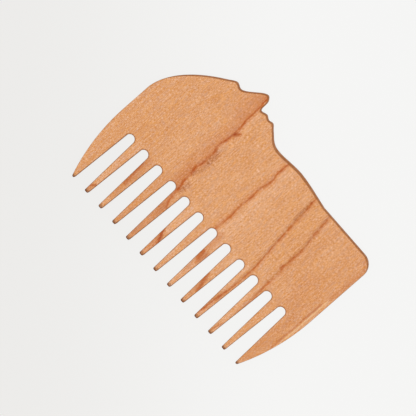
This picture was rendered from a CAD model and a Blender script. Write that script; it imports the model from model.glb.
import math

import bmesh
import bpy
from mathutils import Matrix, Vector


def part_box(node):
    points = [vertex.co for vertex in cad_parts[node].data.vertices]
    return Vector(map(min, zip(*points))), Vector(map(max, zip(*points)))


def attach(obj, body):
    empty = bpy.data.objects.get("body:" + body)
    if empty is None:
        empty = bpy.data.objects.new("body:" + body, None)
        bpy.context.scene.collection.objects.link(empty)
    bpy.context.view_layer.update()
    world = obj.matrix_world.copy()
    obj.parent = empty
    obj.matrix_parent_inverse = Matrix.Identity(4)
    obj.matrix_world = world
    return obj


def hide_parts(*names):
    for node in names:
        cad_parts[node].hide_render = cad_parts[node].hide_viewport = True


# a flat wooden beard comb, dressed on the frame of its solids
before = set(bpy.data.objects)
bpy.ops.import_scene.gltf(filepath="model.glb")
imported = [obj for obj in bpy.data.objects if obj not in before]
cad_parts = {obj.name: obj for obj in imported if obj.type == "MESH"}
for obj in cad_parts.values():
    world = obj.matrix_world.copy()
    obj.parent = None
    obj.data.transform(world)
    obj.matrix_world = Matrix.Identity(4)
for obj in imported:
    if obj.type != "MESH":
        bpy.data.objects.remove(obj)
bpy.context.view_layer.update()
mm = 0.001
print("frame loaded,", len(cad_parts), "nodes")


# camera: over the face, turned so that the teeth point down and left, leaning a little to the right
cameraSetup = {
    "lookAt": (-4.5, -7.6, 5.0),  # mm, the point of the face in the middle of the picture
    "turn": 48.8,  # degrees, from the length of the comb to the picture's right
    "lean": 6.5,  # degrees off the vertical
    "leanTo": 27.0,  # degrees, which way it leans, from the picture's right towards its top
    "lens": 800.0,
    "sensor": 36.0,
    "frameWidth": 168.6,  # mm of the face across the picture
    "clip": (0.01, 20.0),  # m
}


def placeCamera():
    setup = cameraSetup
    turn, lean, leanTo = (math.radians(setup[k]) for k in ("turn", "lean", "leanTo"))
    data = bpy.data.cameras.new("overheadCamera")
    data.lens = setup["lens"]
    data.sensor_width = setup["sensor"]
    data.clip_start, data.clip_end = setup["clip"]
    away = setup["frameWidth"] * mm * setup["lens"] / setup["sensor"]
    aim = Matrix.Translation(Vector(setup["lookAt"]) * mm)
    pose = Matrix.Rotation(turn + leanTo, 4, "Z")
    pose = pose @ Matrix.Rotation(lean, 4, "Y") @ Matrix.Rotation(-leanTo, 4, "Z")
    camera = bpy.data.objects.new("overheadCamera", data)
    camera.matrix_world = aim @ pose @ Matrix.Translation((0, 0, away))
    bpy.context.scene.collection.objects.link(camera)
    bpy.context.scene.camera = camera


placeCamera()
print("camera set")


# the board: the outline of the solids, raised to full thickness, with its rims eased. Lengths in mm
boardShape = {
    "straight": 0.2,  # degrees, the flattest corner that the outline keeps
    "solidCorner": 0.45,  # height of the tip corners in the solids
    "tipCorner": 0.52,  # the rounder corners drawn in their place
    "endTipCorner": 0.47,
    "cornerSegments": 6,
    "backRim": 0.75,  # the round along the back and the ends
    "backStart": 3.0,  # above the tooth roots, clear of the gap floors
    "beardRim": 1.3,  # the broader round along the upper beard
    "beardReach": ((-11, -3), (13, 23)),  # along the comb, where it grows to that and goes back
    "toothRim": 0.36,  # the round along the teeth and the gaps
    "taperStart": 3.0,  # above the tips, where the rims of the ends start to grow
    "rimSegments": 4,
    "rimEdge": 0.04,  # a narrow flat band that keeps the faces flat beside the round
    "broadFace": 1000,  # square mm, less than the face and the underside have
    "smoothAngle": 40,  # degrees
}
samePoint = 0.001 * mm  # points this close are one
sameLevel = 0.01 * mm
outlineMerge = 0.005 * mm  # closer points of the outline are merged
cutSlack = 0.0001 * mm

# heights of the frame in m, then places along the comb in mm
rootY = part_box("comb_back")[0].y
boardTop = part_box("comb_back")[1].z
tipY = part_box("tooth_01")[0].y
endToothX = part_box("end_tooth_right")[0].x / mm
toothPitch = (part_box("tooth_02")[0].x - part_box("tooth_01")[0].x) / mm


def pickOnly(*objs):
    bpy.ops.object.select_all(action="DESELECT")
    for obj in objs:
        obj.select_set(True)
    bpy.context.view_layer.objects.active = objs[0]


def selectWhere(obj, kind, test):
    bpy.ops.mesh.select_all(action="DESELECT")
    bpy.ops.mesh.select_mode(type=kind)
    shape = bmesh.from_edit_mesh(obj.data)
    found = {"VERT": shape.verts, "EDGE": shape.edges, "FACE": shape.faces}[kind]
    for part in found:
        if test(part):
            part.select_set(True)
    shape.select_flush_mode()
    bmesh.update_edit_mesh(obj.data)


# 0 up to low, 1 from high on
def rise(value, low, high):
    return min(1.0, max(0.0, (value - low) / (high - low)))


def boardOutline():
    copies = []
    for name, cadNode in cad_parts.items():
        copy = bpy.data.objects.new("outline_" + name, cadNode.data.copy())
        bpy.context.scene.collection.objects.link(copy)
        copies.append(copy)
    pickOnly(*copies)
    bpy.ops.object.join()
    board = bpy.context.object
    board.name = "comb_board"
    board.data.materials.clear()
    bpy.ops.object.mode_set(mode="EDIT")
    bpy.ops.mesh.select_all(action="SELECT")
    bpy.ops.mesh.remove_doubles(threshold=samePoint)
    # cut at half thickness and keep only the line of the cut
    bpy.ops.mesh.select_all(action="SELECT")
    bpy.ops.mesh.bisect(
        plane_co=(0, 0, boardTop / 2), plane_no=(0, 0, 1),
        clear_inner=True, clear_outer=True, threshold=cutSlack,
    )
    bpy.ops.mesh.select_all(action="SELECT")
    bpy.ops.mesh.remove_doubles(threshold=outlineMerge)
    # the lines across the tooth roots aren't part of the outline
    selectWhere(board, "EDGE", lambda e: all(abs(v.co.y - rootY) < sameLevel for v in e.verts))
    bpy.ops.mesh.delete(type="EDGE")
    bpy.ops.mesh.select_all(action="SELECT")
    bpy.ops.mesh.dissolve_limited(angle_limit=math.radians(boardShape["straight"]))
    print("outline drawn,", len(bmesh.from_edit_mesh(board.data).verts), "points")
    return board


# each corner of the tips goes back to a point, to be rounded again without crowding the rim
def sharpenTips(board):
    shape = bmesh.from_edit_mesh(board.data)
    low = [v for v in shape.verts if v.co.y < tipY + boardShape["solidCorner"] * mm]
    corners = []
    for top in low:
        flank = [e.other_vert(top) for e in top.link_edges if e.other_vert(top) not in low]
        if flank:
            corner = [top]
            while corner[-1].co.y > tipY + samePoint:
                onward = [e.other_vert(corner[-1]) for e in corner[-1].link_edges]
                corner.append(next(v for v in onward if v in low and v not in corner))
            lean = top.co - flank[0].co
            corners.append((corner, top.co + lean * ((tipY - top.co.y) / lean.y)))
    for corner, point in corners:
        bmesh.ops.pointmerge(shape, verts=corner, merge_co=point)
    bmesh.update_edit_mesh(board.data)
    print("tips sharpened,", len(corners), "corners")


def roundTips(board, corner, atEnds):
    def onTip(v):
        return v.co.y < tipY + sameLevel and (abs(v.co.x) > endToothX * mm) == atEnds

    selectWhere(board, "VERT", onTip)
    width, segments = boardShape[corner] * mm, boardShape["cornerSegments"]
    bpy.ops.mesh.bevel(offset=width, segments=segments, affect="VERTICES")


def raiseBoard(board):
    bpy.ops.mesh.select_all(action="SELECT")
    bpy.ops.mesh.edge_face_add()
    roundTips(board, "tipCorner", False)
    roundTips(board, "endTipCorner", True)
    bpy.ops.object.mode_set(mode="OBJECT")
    raised = board.modifiers.new("thickness", "SOLIDIFY")
    raised.thickness = boardTop
    raised.offset = 0
    bpy.ops.object.modifier_apply(modifier="thickness")
    bpy.ops.object.mode_set(mode="EDIT")
    bpy.ops.mesh.select_all(action="SELECT")
    bpy.ops.mesh.normals_make_consistent(inside=False)
    print("board raised")


# how broad a rim is, in mm: full along the back, less and less down the ends, least between the teeth
def rimWidth(edge):
    at = (edge.verts[0].co + edge.verts[1].co) / 2 / mm
    tooth, back = boardShape["toothRim"], boardShape["backRim"]
    wall = next(f for f in edge.link_faces if abs(f.normal.z) < 0.5)
    if at.y > rootY / mm + boardShape["backStart"]:
        return back
    if abs(at.x) > endToothX and wall.normal.x * at.x > 0:
        return tooth + (back - tooth) * rise(at.y, tipY / mm + boardShape["taperStart"], rootY / mm)
    return tooth


# the round along the upper beard grows in depth and drop alike
def broadenBeard(board):
    back = boardShape["backRim"] * mm
    grow, shrink = boardShape["beardReach"]
    for point in board.data.vertices:
        at = point.co
        drop = min(at.z, boardTop - at.z)
        if at.y > rootY + boardShape["backStart"] * mm and drop < back + samePoint:
            share = rise(at.x / mm, *grow) * (1 - rise(at.x / mm, *shrink))
            more = share * (boardShape["beardRim"] * mm / back - 1)
            depth = back - math.sqrt(max(0.0, back ** 2 - (back - drop) ** 2))
            at.y -= depth * more
            at.z += drop * more * (1 if at.z < boardTop / 2 else -1)


def easeRims(board):
    shape = bmesh.from_edit_mesh(board.data)
    share = shape.edges.layers.float.new("bevel_weight_edge")
    for edge in shape.edges:
        if abs(edge.verts[0].co.z - edge.verts[1].co.z) < sameLevel:
            edge[share] = rimWidth(edge) / boardShape["backRim"]
    bmesh.update_edit_mesh(board.data)
    bpy.ops.object.mode_set(mode="OBJECT")
    rim = board.modifiers.new("rim", "BEVEL")
    rim.limit_method = "WEIGHT"
    rim.width = boardShape["backRim"] * mm
    rim.segments = boardShape["rimSegments"]
    rim.use_clamp_overlap = False
    bpy.ops.object.modifier_apply(modifier="rim")
    bpy.ops.object.mode_set(mode="EDIT")
    broad = boardShape["broadFace"] * mm * mm
    selectWhere(board, "FACE", lambda f: abs(f.normal.z) > 0.999 and f.calc_area() > broad)
    bpy.ops.mesh.inset(thickness=boardShape["rimEdge"] * mm, use_even_offset=True)
    bpy.ops.object.mode_set(mode="OBJECT")
    broadenBeard(board)
    print("rims eased,", len(board.data.vertices), "points")


def cutAtRoots(board, keepTeeth):
    pickOnly(board)
    bpy.ops.object.mode_set(mode="EDIT")
    bpy.ops.mesh.select_all(action="SELECT")
    bpy.ops.mesh.bisect(
        plane_co=(0, rootY, 0), plane_no=(0, 1, 0),
        clear_inner=not keepTeeth, clear_outer=keepTeeth, threshold=samePoint,
    )
    bpy.ops.mesh.select_all(action="SELECT")
    bpy.ops.mesh.fill_holes(sides=0)
    bpy.ops.mesh.select_all(action="SELECT")
    bpy.ops.mesh.normals_make_consistent(inside=False)
    if keepTeeth:
        bpy.ops.mesh.separate(type="LOOSE")
    bpy.ops.object.mode_set(mode="OBJECT")


# the board comes apart at the tooth roots, as the solids do, so each node keeps a piece of its own
def divideBoard(board):
    teeth = bpy.data.objects.new("comb_teeth", board.data.copy())
    bpy.context.scene.collection.objects.link(teeth)
    cutAtRoots(board, False)
    board.name = "comb_back_wood"
    cutAtRoots(teeth, True)
    inOrder = sorted(bpy.context.selected_objects, key=lambda o: o.bound_box[0][0])
    toothNames = sorted(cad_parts.keys() - {"comb_back"}, key=lambda n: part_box(n)[0].x)
    pieces = {"comb_back": board}
    for name, tooth in zip(toothNames, inOrder, strict=True):
        tooth.name = name + "_wood"
        pieces[name] = tooth
    for piece in pieces.values():
        piece.data.name = piece.name
        pickOnly(piece)
        bpy.ops.object.shade_smooth_by_angle(angle=math.radians(boardShape["smoothAngle"]))
    return pieces


board = boardOutline()
sharpenTips(board)
raiseBoard(board)
easeRims(board)
pieces = divideBoard(board)
print("board divided,", len(pieces), "pieces")


def tint(hexText):
    parts = [int(hexText[i:i + 2], 16) / 255 for i in (1, 3, 5)]
    return [c / 12.92 if c <= 0.04045 else ((c + 0.055) / 1.055) ** 2.4 for c in parts] + [1.0]


# short names for adding and joining the nodes of one material
class NodeDesk:
    def __init__(self, material):
        material.use_nodes = True
        self.tree = material.node_tree
        self.tree.nodes.clear()

    def add(self, kind, **settings):
        made = self.tree.nodes.new(kind)
        for key, value in settings.items():
            setattr(made, key, value)
        return made

    def feed(self, socket, value):
        if isinstance(value, bpy.types.NodeSocket):
            self.tree.links.new(value, socket)
        else:
            socket.default_value = value

    def calc(self, how, *values):
        made = self.add("ShaderNodeMath", operation=how)
        for socket, value in zip(made.inputs, values):
            self.feed(socket, value)
        return made.outputs[0]

    def vector(self, how, *values):
        made = self.add("ShaderNodeVectorMath", operation=how)
        for socket, value in zip(made.inputs, values):
            self.feed(socket, value)
        return made.outputs["Value" if how in ("LENGTH", "DOT_PRODUCT") else "Vector"]

    # goes softly from one range to another
    def spread(self, value, fromLow, fromHigh, toLow=0.0, toHigh=1.0):
        made = self.add("ShaderNodeMapRange", interpolation_type="SMOOTHSTEP")
        names = ("Value", "From Min", "From Max", "To Min", "To Max")
        for name, v in zip(names, (value, fromLow, fromHigh, toLow, toHigh)):
            self.feed(made.inputs[name], v)
        return made.outputs["Result"]

    def split(self, value):
        made = self.add("ShaderNodeSeparateXYZ")
        self.feed(made.inputs[0], value)
        return made.outputs

    def mapped(self, value, scale, shift=(0, 0, 0)):
        made = self.add("ShaderNodeMapping")
        self.feed(made.inputs["Vector"], value)
        made.inputs["Scale"].default_value = scale
        made.inputs["Location"].default_value = shift
        return made.outputs["Vector"]

    # a noise round 0, with how many to the mm along the comb, along the grain and through the board
    def noise(self, place, scale, shift=(0, 0, 0), detail=2.0, rough=0.5):
        made = self.add("ShaderNodeTexNoise")
        self.feed(made.inputs["Vector"], self.mapped(place, scale, shift))
        made.inputs["Scale"].default_value = 1.0
        made.inputs["Detail"].default_value = detail
        made.inputs["Roughness"].default_value = rough
        return self.calc("SUBTRACT", made.outputs["Fac"], 0.5)

    def ramp(self, value, stops):
        made = self.add("ShaderNodeValToRGB")
        band = made.color_ramp
        while len(band.elements) < len(stops):
            band.elements.new(0.5)
        for element, (at, colour) in zip(band.elements, stops):
            element.position = at
            element.color = tint(colour)
        self.feed(made.inputs["Fac"], value)
        return made.outputs["Color"]

    # a Mix node has its colours on sockets 6 and 7, and its result on socket 2
    def blend(self, amount, under, over, how="MIX"):
        made = self.add("ShaderNodeMix", data_type="RGBA", blend_type=how)
        self.feed(made.inputs["Factor"], amount)
        self.feed(made.inputs[6], under)
        self.feed(made.inputs[7], tint(over))
        return made.outputs[2]

    # a smooth curve through points, from one measure to another
    def curve(self, value, points, inputRange, outputRange):
        made = self.add("ShaderNodeFloatCurve")
        curve = made.mapping.curves[0]
        (inLow, inHigh), (outLow, outHigh) = inputRange, outputRange
        marks = [((a - inLow) / (inHigh - inLow), (b - outLow) / (outHigh - outLow)) for a, b in points]
        for at in marks[1:-1]:
            curve.points.new(*at)
        curve.points[0].location = marks[0]
        curve.points[len(curve.points) - 1].location = marks[-1]
        made.mapping.update()
        share = self.calc("DIVIDE", self.calc("SUBTRACT", value, inLow), inHigh - inLow)
        self.feed(made.inputs["Value"], share)
        return self.calc("MULTIPLY_ADD", made.outputs[0], outHigh - outLow, outLow)

    # 1 on a straight stroke, fading to 0 at its half width
    def stroke(self, place, fromX, fromY, toX, toY, halfWidth):
        start, along = Vector((fromX, fromY, 0)), Vector((toX - fromX, toY - fromY, 0))
        away = self.vector("SUBTRACT", place, start)
        share = self.vector("DOT_PRODUCT", away, along / along.length_squared)
        share = self.calc("MINIMUM", self.calc("MAXIMUM", share, 0.0), 1.0)
        foot = self.add("ShaderNodeVectorMath", operation="SCALE")
        foot.inputs[0].default_value = along
        self.feed(foot.inputs["Scale"], share)
        gap = self.vector("LENGTH", self.vector("SUBTRACT", away, foot.outputs["Vector"]))
        return self.spread(gap, halfWidth, 0.0)


# the wood: fine reddish-tan fruitwood with its grain along the teeth. Lengths in mm
woodLook = {
    "darkTone": "#C97A30",
    "midTone": "#DD9D67",
    "paleTone": "#F3C4A3",
    # flecks, fibres, specks and slow change: how many along the comb and along the grain, then how strong
    "grains": [((3.6, 1.05), 1.15), ((2.8, 0.13), 0.6), ((3.6, 3.0), 0.9), ((0.1, 0.045), 0.12)],
    "grainsApart": 3,  # shift from each noise to the next
    # patches that lean to orange or to a cooler pink
    "warmTone": "#EDA452",
    "coolTone": "#CB9C86",
    "hueNoise": ((1.7, 0.5, 1.7), (0, 0, 4), 1.0),
    "hueSwing": 0.3,  # how far the noise swings for the full shift
    "hueShift": 0.45,
    "roughness": (0.52, 0.68),  # from pale flecks to burnt edges
    "roughnessSwing": (-0.2, 0.9),  # flecks and burn together, from and to
    "gloss": 0.2,
    "bump": 0.5,
    "grainHeight": 0.008,
}


# tones of the flecks and fibres, shifted towards pale where asked, then the patches of hue
def plainWood(desk, inMm, paler):
    look = woodLook
    tone = desk.calc("ADD", paler, 0.5)
    grains = []
    for (across, along), strength in look["grains"]:
        shift = (look["grainsApart"] * len(grains), 0, 0)
        grains.append(desk.noise(inMm, (across, along, across), shift, 0.0))
        tone = desk.calc("MULTIPLY_ADD", grains[-1], strength, tone)
    colour = desk.ramp(tone, [(0.0, look["darkTone"]), (0.5, look["midTone"]), (1.0, look["paleTone"])])
    hue = desk.noise(inMm, *look["hueNoise"])
    for swing, paint in ((look["hueSwing"], "warmTone"), (-look["hueSwing"], "coolTone")):
        colour = desk.blend(desk.spread(hue, 0.0, swing, 0.0, look["hueShift"]), colour, look[paint])
    flecks, fibres = grains[:2]
    return colour, flecks, fibres


# growth lines across the comb. A path goes by height above the tooth tips and place along the comb.
# Then come the line's strength and half width, the darker wood on its left by tint, strength and
# reach, and the paler wood on its right by strength and reach
growthLook = {
    "ringTint": "#DC9A46",
    "redTint": "#EBCDB8",
    "greyTint": "#DDDCDA",
    "skirt": (2.0, 0.3),  # a faint tint beside each line: reach and strength
    "wanderNoise": ((0.15, 0.5, 0.05), (0, 0, 0), 3.0),
    "fadeNoise": ((0.17, 0.33, 0.1), (7, 0, 0), 3.0, 0.6),
    "widthNoise": ((0.17, 0.4, 0.1), (0, 9, 0), 2.0),
    "noiseSwing": 0.14,  # how far a noise swings for the full change
    "fade": (0.55, 1.08),  # the lines come and go between these shares of their strength
    "widths": (0.65, 1.35),  # and between these shares of their half width
    "leftEdge": 0.3,  # how softly the darker wood ends at the line
    "paleStart": (0.4, 2.4),  # beside the line, where the paler wood begins and where it is full
    "heights": (0, 82),  # the paths run between these heights
    "places": (-60, 60),  # and these places
    "lines": [
        {
            "path": [
                (0, -5), (8.5, -7.5), (13.5, -9.7), (18, -13), (22, -16.6), (26, -17.8),
                (30, -18.5), (33, -19.1), (38.5, -19.8), (40, -20.2), (44, -19.5), (47, -19.9),
                (50, -19.8), (52, -20.5), (54, -20.6), (57, -20.3), (60, -19.9), (63, -19.9),
                (66, -20.4), (68, -20.9), (72, -21), (82, -22),
            ],
            "line": 0.95, "halfWidth": 1.0, "left": ("redTint", 0.55, 9.0), "pale": (0.06, 4.0),
        },
        {
            "path": [
                (0, 5), (16, 4.8), (28, 3.8), (39, 4.0), (44, 3.6), (50, 3.9), (54, 3.5),
                (57, 4.1), (61, 4.4), (63, 3.8), (66, 3.6), (70, 3.8), (82, 3.6),
            ],
            "line": 0.85, "halfWidth": 0.95, "left": ("redTint", 0.25, 4.0), "pale": (0.15, 12.0),
        },
        {
            "path": [
                (0, 24.0), (4, 24.6), (14, 25.5), (21, 26.2), (32, 26.1), (41, 24.9),
                (50, 23.8), (55, 23.3), (62, 22.7), (67, 21.8), (82, 21),
            ],
            "line": 0.9, "halfWidth": 0.85, "left": ("greyTint", 0.35, 2.4), "pale": (0.0, 2.0),
        },
        {
            "path": [
                (0, 37), (20, 35.3), (32, 34.5), (36, 34.5), (38.5, 34.2), (40, 33.4), (42, 33.7),
                (45, 33.5), (49, 33.7), (53, 33.2), (57, 32.4), (64, 31.4), (67, 30.9), (82, 30),
            ],
            "line": 0.75, "halfWidth": 1.05, "left": ("greyTint", 0.35, 2.2), "pale": (0.0, 2.0),
        },
    ],
}


# how strong the lines are, how dark it is on their left by tint, and how much paler on their right
def growthLines(desk, inMm, x, y):
    look = growthLook
    swing = look["noiseSwing"]
    wandered = desk.calc("ADD", x, desk.noise(inMm, *look["wanderNoise"]))
    fade = desk.spread(desk.noise(inMm, *look["fadeNoise"]), -swing, swing, *look["fade"])
    widths = desk.spread(desk.noise(inMm, *look["widthNoise"]), -swing, swing, *look["widths"])
    skirtReach, skirtStrength = look["skirt"]
    edge, (paleBegin, paleFull) = look["leftEdge"], look["paleStart"]
    lines, pales = 0.0, 0.0
    shades = {"redTint": 0.0, "greyTint": 0.0}
    for growth in look["lines"]:
        lineX = desk.curve(y, growth["path"], look["heights"], look["places"])
        off = desk.calc("SUBTRACT", wandered, lineX)
        beside = desk.calc("ABSOLUTE", off)
        halfWidth = desk.calc("MULTIPLY", widths, growth["halfWidth"])
        core = desk.spread(beside, halfWidth, 0.0, 0.0, growth["line"])
        skirt = desk.spread(beside, skirtReach, 0.0, 0.0, skirtStrength)
        lines = desk.calc("MAXIMUM", lines, desk.calc("MAXIMUM", core, skirt))
        shade, dark, darkReach = growth["left"]
        onLeft = desk.spread(off, edge, -edge, 0.0, dark)
        onLeft = desk.calc("MULTIPLY", onLeft, desk.spread(off, -darkReach, 0.0))
        shades[shade] = desk.calc("MAXIMUM", shades[shade], onLeft)
        pale, paleReach = growth["pale"]
        onRight = desk.spread(off, paleBegin, paleFull, 0.0, pale)
        onRight = desk.calc("MULTIPLY", onRight, desk.spread(off, paleReach, 0.0))
        pales = desk.calc("MAXIMUM", pales, onRight)
    return desk.calc("MULTIPLY", lines, fade), shades, pales


# marks drawn as strokes: from place and height to place and height, then half width and strength
markLook = {
    "raggedNoise": ((1.2, 0.35, 1.2), (5, 0, 0), 3.0),
    "ragged": (0.6, 3.0),  # how far their edges stray along the comb and along the grain
    "stainTint": "#D6A274",
    "stains": [
        # on the teeth, from left to right
        (-43.3, 2.6, -41.6, 4.9, 0.75, 0.95), (-42.6, 1.5, -42.4, 3.5, 1.6, 0.3),
        (-35.6, 25.0, -34.4, 14.5, 1.8, 0.85), (-34.4, 14.0, -34.1, 7.0, 1.8, 0.25),
        (-34.4, 28.0, -33.9, 17.0, 2.8, 0.3),
        (-25.9, 29.0, -25.5, 3.0, 3.2, 0.13), (-17.3, 20.0, -17.0, 3.0, 2.8, 0.35),
        (-9.5, 13.2, -7.7, 9.4, 1.2, 0.8), (-8.8, 8.5, -8.5, 5.0, 1.6, 0.1),
        (7.3, 20.2, 8.1, 16.8, 2.5, 1.0), (9.3, 19.8, 8.7, 16.0, 2.2, 0.7),
        (7.4, 30.0, 7.8, 21.0, 2.4, 0.38), (8.2, 15.5, 8.3, 9.0, 2.4, 0.2),
        (15.2, 15.4, 17.7, 8.5, 1.9, 0.95), (16.2, 9.5, 16.7, 5.5, 1.6, 0.25),
        (25.8, 15.0, 24.4, 4.2, 1.4, 0.3), (34.5, 6.5, 33.4, 2.2, 0.6, 0.6),
        # on the right of the back and down the right end
        (55.2, 42.0, 54.9, 15.0, 0.8, 0.6), (51.8, 36.0, 51.0, 6.0, 5.0, 0.2),
        (56.4, 62.0, 56.2, 47.0, 2.6, 0.35), (53.5, 67.3, 56.3, 64.2, 1.3, 0.4),
        (51.0, 64.0, 51.0, 40.0, 9.0, 0.1), (46.0, 44.0, 47.0, 31.0, 10.0, 0.16),
        (37.0, 66.0, 38.0, 39.0, 4.5, 0.1),
        # on the left of the back, and a spur on the first growth line
        (-26.5, 80.0, -28.0, 70.0, 8.0, 0.12), (-21.6, 38.5, -21.0, 30.0, 3.0, 0.15),
        (-19.6, 60.8, -18.8, 62.0, 1.7, 1.0), (-18.8, 61.8, -18.3, 63.0, 1.2, 1.0),
    ],
    # stronger dashes along the growth lines
    "dashTint": "#E4AC62",
    "dashes": [
        (-20.8, 70.5, -20.4, 67.0, 1.1, 0.3), (-20.3, 58.5, -20.6, 55.0, 1.3, 0.4),
        (-20.2, 51.5, -19.6, 49.5, 1.1, 0.6), (-19.6, 44.5, -19.7, 42.0, 1.1, 0.5),
        (-20.0, 39.5, -19.9, 37.5, 1.2, 0.2),
        (3.7, 68.6, 3.6, 67.8, 1.0, 0.6), (3.8, 67.2, 3.8, 65.8, 1.1, 0.6),
        (4.0, 57.0, 4.1, 55.5, 1.1, 0.4), (3.8, 50.6, 3.8, 48.6, 1.2, 0.6),
        (21.9, 67.4, 21.8, 66.2, 1.0, 0.6), (24.0, 50.0, 24.4, 46.0, 0.9, 0.45),
        (31.1, 66.0, 31.2, 63.2, 1.3, 0.1), (31.9, 60.4, 32.0, 58.8, 1.2, 0.6),
        (33.6, 49.6, 33.4, 44.4, 1.2, 0.4), (33.3, 40.8, 33.4, 39.6, 1.2, 0.6),
    ],
    # smears beside the growth lines, which show most on the darker flecks
    "smearTint": "#CDAB94",
    "smearFlecks": (0.15, -0.15, 0.6, 1.4),  # from pale flecks to dark ones, the share of it from and to
    "smears": [
        (-18.6, 54.5, -18.3, 51.0, 2.2, 0.22), (-18.3, 50.5, -18.0, 45.5, 2.4, 0.65),
        (-18.0, 46.0, -17.7, 40.5, 2.2, 0.4), (-18.7, 40.0, -18.6, 37.5, 1.4, 0.5),
        (-16.9, 33.5, -17.1, 29.5, 1.9, 0.55),
        (21.6, 63.5, 22.0, 57.0, 1.2, 0.5), (32.5, 56.5, 32.4, 54.0, 1.6, 0.15),
    ],
    # pale places on the teeth and beside the first line, by how much paler they are
    "pales": [
        (-42.3, 29.0, -42.4, 7.0, 3.0, 0.11), (-8.6, 29.0, -8.4, 15.5, 3.0, 0.17),
        (-8.5, 7.5, -8.5, 2.0, 2.0, 0.1), (-0.2, 12.0, -0.2, 3.0, 2.4, 0.05),
        (16.8, 29.0, 16.9, 17.5, 2.6, 0.11), (24.3, 29.0, 24.4, 15.0, 1.6, 0.18),
        (25.4, 9.0, 25.1, 3.0, 1.8, 0.12), (33.2, 29.0, 33.6, 8.0, 2.6, 0.11),
        (-18.7, 58.5, -19.0, 52.5, 1.4, 0.12), (-19.2, 71.0, -19.4, 66.0, 1.4, 0.1),
    ],
    # a cream streak down the right end
    "creamColour": "#F2CB9A",
    "creams": [(56.1, 45.0, 56.0, 22.0, 0.55, 0.5)],
}


# places for the strokes, flat on the face, so strayed that the strokes get ragged ends
def raggedPlaces(desk, inMm):
    ragged = desk.noise(inMm, *markLook["raggedNoise"])
    shift = desk.add("ShaderNodeCombineXYZ")
    for axis, reach in zip("XY", markLook["ragged"]):
        desk.feed(shift.inputs[axis], desk.calc("MULTIPLY", ragged, reach))
    return desk.mapped(desk.vector("ADD", inMm, shift.outputs[0]), (1, 1, 0))


def strokes(desk, flat, marks):
    amount = 0.0
    for *stroke, strength in marks:
        amount = desk.calc("MAXIMUM", amount, desk.calc("MULTIPLY", desk.stroke(flat, *stroke), strength))
    return amount


def drawMarks(desk, flat, flecks, colour):
    look = markLook
    colour = desk.blend(strokes(desk, flat, look["stains"]), colour, look["stainTint"], "MULTIPLY")
    colour = desk.blend(strokes(desk, flat, look["dashes"]), colour, look["dashTint"], "MULTIPLY")
    smears = strokes(desk, flat, look["smears"])
    speckled = desk.calc("MULTIPLY", smears, desk.spread(flecks, *look["smearFlecks"]))
    colour = desk.blend(speckled, colour, look["smearTint"], "MULTIPLY")
    return desk.blend(strokes(desk, flat, look["creams"]), colour, look["creamColour"])


# burnt edges: walls are burnt all over, rims in part, by which way they face
burnLook = {
    "cutColour": "#A06234",
    # how far the burn eats into the rims, from 0, hardly, to 1, all the way
    "back": 0.75,
    "gapFloors": 1.0,
    "teeth": 0.65,
    "ends": 0.05,
    # the slant of a rim, 0 on a face and 1 on a wall, where the burn begins and where it is full
    "leastSlants": (0.85, 1.0),
    "mostSlants": (0.0, 0.3),
    "facing": (0.15, 0.85),  # how squarely a rim faces the back or the tips, to count as one of theirs
    "outwards": (-0.3, 0.3),  # the same for the ends
    "endsBlend": 0.2,  # how soon the burn of the ends takes over, going out along the comb
    "streakNoise": ((1.1, 1.1, 0.05), (0, 0, 0), 3.0, 0.6),
    "streaks": (-0.25, 0.2, 0.75, 1.0),  # as the noise goes from and to, the share of the burn from and to
    # round the floor of each gap the face is scorched as well
    "gapFloor": (27.5, 2.1),  # height of its centre, radius
    "gapScorch": (0.7, 0.15, 0.85),  # outside that radius, where it begins, where it is full, its strength
    "gapScorchHeights": (-0.5, 1.0),  # from the centre, where it begins and where it is full
    "gapScorchEnds": (1.6, 1.2),  # into the end teeth, where it is gone and where it is still full
    # the tips of the teeth are darkest
    "scorchColour": "#6E3914",
    "scorchLength": 2.2,
    "tipScorch": (0.0, 0.4, 0.85, 1.0),  # as the slant goes from and to, its strength from and to
}


def burntRims(desk, slant, facing, x):
    look = burnLook
    facingX, facingY = desk.split(facing)[:2]
    outwards = desk.spread(desk.calc("MULTIPLY", facingX, desk.calc("SIGN", x)), *look["outwards"])
    onEndTeeth = desk.spread(desk.calc("ABSOLUTE", x), endToothX, endToothX + look["endsBlend"])
    atEnds = desk.calc("MULTIPLY", outwards, onEndTeeth)
    share = desk.calc("MULTIPLY_ADD", atEnds, look["ends"] - look["teeth"], look["teeth"])
    aslant, square = look["facing"]
    share = desk.calc("MAXIMUM", share, desk.spread(facingY, aslant, square, 0.0, look["back"]))
    share = desk.calc("MAXIMUM", share, desk.spread(facingY, -aslant, -square, 0.0, look["gapFloors"]))
    begin, full = (
        desk.calc("MULTIPLY_ADD", share, most - least, least)
        for least, most in zip(look["leastSlants"], look["mostSlants"])
    )
    return desk.spread(slant, begin, full)


def scorchedGaps(desk, x, y):
    look = burnLook
    floorHeight, floorRadius = look["gapFloor"]
    fromGap = desk.calc("WRAP", desk.calc("SUBTRACT", x, toothPitch / 2), toothPitch / 2, -toothPitch / 2)
    above = desk.calc("SUBTRACT", y, floorHeight)
    squares = desk.calc("MULTIPLY_ADD", above, above, desk.calc("MULTIPLY", fromGap, fromGap))
    outside = desk.calc("SUBTRACT", desk.calc("SQRT", squares), floorRadius)
    begin, full, strength = look["gapScorch"]
    scorch = desk.spread(outside, begin, full, 0.0, strength)
    scorch = desk.calc("MULTIPLY", scorch, desk.spread(above, *look["gapScorchHeights"]))
    gone, still = (endToothX + reach for reach in look["gapScorchEnds"])
    return desk.calc("MULTIPLY", scorch, desk.spread(desk.calc("ABSOLUTE", x), gone, still))


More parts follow.
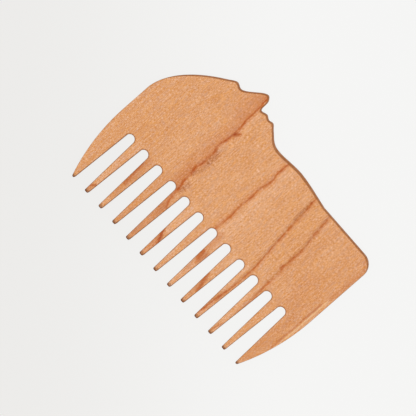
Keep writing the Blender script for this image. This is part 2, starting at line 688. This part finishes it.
def burnEdges(desk, coords, inMm, flecks, colour):
    look = burnLook
    x, y = desk.split(inMm)[:2]
    flatNormal = desk.mapped(coords.outputs["Normal"], (1, 1, 0))
    slant = desk.vector("LENGTH", flatNormal)
    rims = burntRims(desk, slant, desk.vector("NORMALIZE", flatNormal), x)
    burn = desk.calc("MAXIMUM", rims, scorchedGaps(desk, x, y))
    streaks = desk.spread(desk.noise(inMm, *look["streakNoise"]), *look["streaks"])
    burn = desk.calc("MULTIPLY", burn, streaks)
    colour = desk.blend(burn, colour, look["cutColour"])
    scorch = desk.spread(desk.calc("ADD", flecks, y), look["scorchLength"], 0.0)
    scorch = desk.calc("MULTIPLY", scorch, desk.spread(slant, *look["tipScorch"]))
    return desk.blend(scorch, colour, look["scorchColour"]), burn


def makeWood():
    look = woodLook
    wood = bpy.data.materials.new("combWood")
    desk = NodeDesk(wood)
    coords = desk.add("ShaderNodeTexCoord")
    # in mm, with heights counted from the tooth tips
    inMm = desk.mapped(coords.outputs["Object"], (1 / mm, 1 / mm, 1 / mm), (0, -tipY / mm, 0))
    x, y = desk.split(inMm)[:2]
    flat = raggedPlaces(desk, inMm)
    lines, shades, pales = growthLines(desk, inMm, x, y)
    paler = desk.calc("ADD", pales, strokes(desk, flat, markLook["pales"]))
    colour, flecks, fibres = plainWood(desk, inMm, paler)
    for shade, amount in shades.items():
        colour = desk.blend(amount, colour, growthLook[shade], "MULTIPLY")
    colour = desk.blend(lines, colour, growthLook["ringTint"], "MULTIPLY")
    colour = drawMarks(desk, flat, flecks, colour)
    colour, burn = burnEdges(desk, coords, inMm, flecks, colour)

    shader = desk.add("ShaderNodeBsdfPrincipled")
    desk.feed(shader.inputs["Base Color"], colour)
    worn = desk.calc("ADD", flecks, burn)
    desk.feed(shader.inputs["Roughness"], desk.spread(worn, *look["roughnessSwing"], *look["roughness"]))
    shader.inputs["Specular IOR Level"].default_value = look["gloss"]
    bump = desk.add("ShaderNodeBump")
    bump.inputs["Strength"].default_value = look["bump"]
    bump.inputs["Distance"].default_value = look["grainHeight"] * mm
    desk.feed(bump.inputs["Height"], desk.calc("ADD", fibres, flecks))
    desk.feed(shader.inputs["Normal"], bump.outputs["Normal"])
    out = desk.add("ShaderNodeOutputMaterial")
    desk.feed(out.inputs["Surface"], shader.outputs[0])
    return wood


wood = makeWood()
for name, piece in pieces.items():
    piece.data.materials.append(wood)
    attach(piece, "root")
    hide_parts(name)
print("wood finished")


# pale floor that glows by itself, so that the comb throws hardly any shade on it. From below it is clear
floorLook = {
    "leftColour": "#ECEBE9",
    "rightColour": "#F5F5F4",
    "fade": (-0.1, 0.035),  # m across the picture, where it goes from one to the other
    "glow": 0.97,
    "roughness": 0.9,
    "side": 3.0,  # m
    "drop": 0.00005,  # m below the comb
}


def layFloor():
    look = floorLook
    bpy.ops.object.select_all(action="DESELECT")
    bpy.ops.mesh.primitive_plane_add(size=look["side"], location=(0, 0, -look["drop"]))
    floor = bpy.context.object
    floor.name = "floor"
    pale = bpy.data.materials.new("paleFloor")
    desk = NodeDesk(pale)
    coords = desk.add("ShaderNodeTexCoord")
    turn = math.radians(cameraSetup["turn"])
    across = desk.vector("DOT_PRODUCT", coords.outputs["Object"], (math.cos(turn), math.sin(turn), 0))
    share = desk.spread(across, *look["fade"])
    shade = desk.ramp(share, [(0.0, look["leftColour"]), (1.0, look["rightColour"])])
    shader = desk.add("ShaderNodeBsdfPrincipled")
    shader.inputs["Base Color"].default_value = [1 - look["glow"]] * 3 + [1]
    desk.feed(shader.inputs["Emission Color"], shade)
    shader.inputs["Emission Strength"].default_value = look["glow"]
    shader.inputs["Roughness"].default_value = look["roughness"]
    shader.inputs["Specular IOR Level"].default_value = 0.0
    clear = desk.add("ShaderNodeBsdfTransparent")
    fromBelow = desk.add("ShaderNodeNewGeometry")
    either = desk.add("ShaderNodeMixShader")
    desk.feed(either.inputs[0], fromBelow.outputs["Backfacing"])
    desk.feed(either.inputs[1], shader.outputs[0])
    desk.feed(either.inputs[2], clear.outputs[0])
    out = desk.add("ShaderNodeOutputMaterial")
    desk.feed(out.inputs["Surface"], either.outputs[0])
    floor.data.materials.append(pale)


lightSetup = {
    "sky": 0.75,
    "lamps": [  # name, place and aim in m, size in m, watts
        ("softboxOver", (0.1, 0.1, 1.4), (0, 0, 0), 1.2, 6.0),
    ],
}


def hangLights():
    world = bpy.data.worlds.new("studio")
    world.use_nodes = True
    sky = world.node_tree.nodes["Background"]
    sky.inputs["Color"].default_value = (1, 1, 1, 1)
    sky.inputs["Strength"].default_value = lightSetup["sky"]
    bpy.context.scene.world = world
    for name, place, aim, side, watts in lightSetup["lamps"]:
        lamp = bpy.data.lights.new(name, "AREA")
        lamp.size = side
        lamp.energy = watts
        box = bpy.data.objects.new(name, lamp)
        box.location = place
        box.rotation_euler = (Vector(aim) - Vector(place)).to_track_quat("-Z", "Y").to_euler()
        bpy.context.scene.collection.objects.link(box)
    bpy.context.scene.view_settings.view_transform = "Standard"


layFloor()
hangLights()
print("floor and lights set")
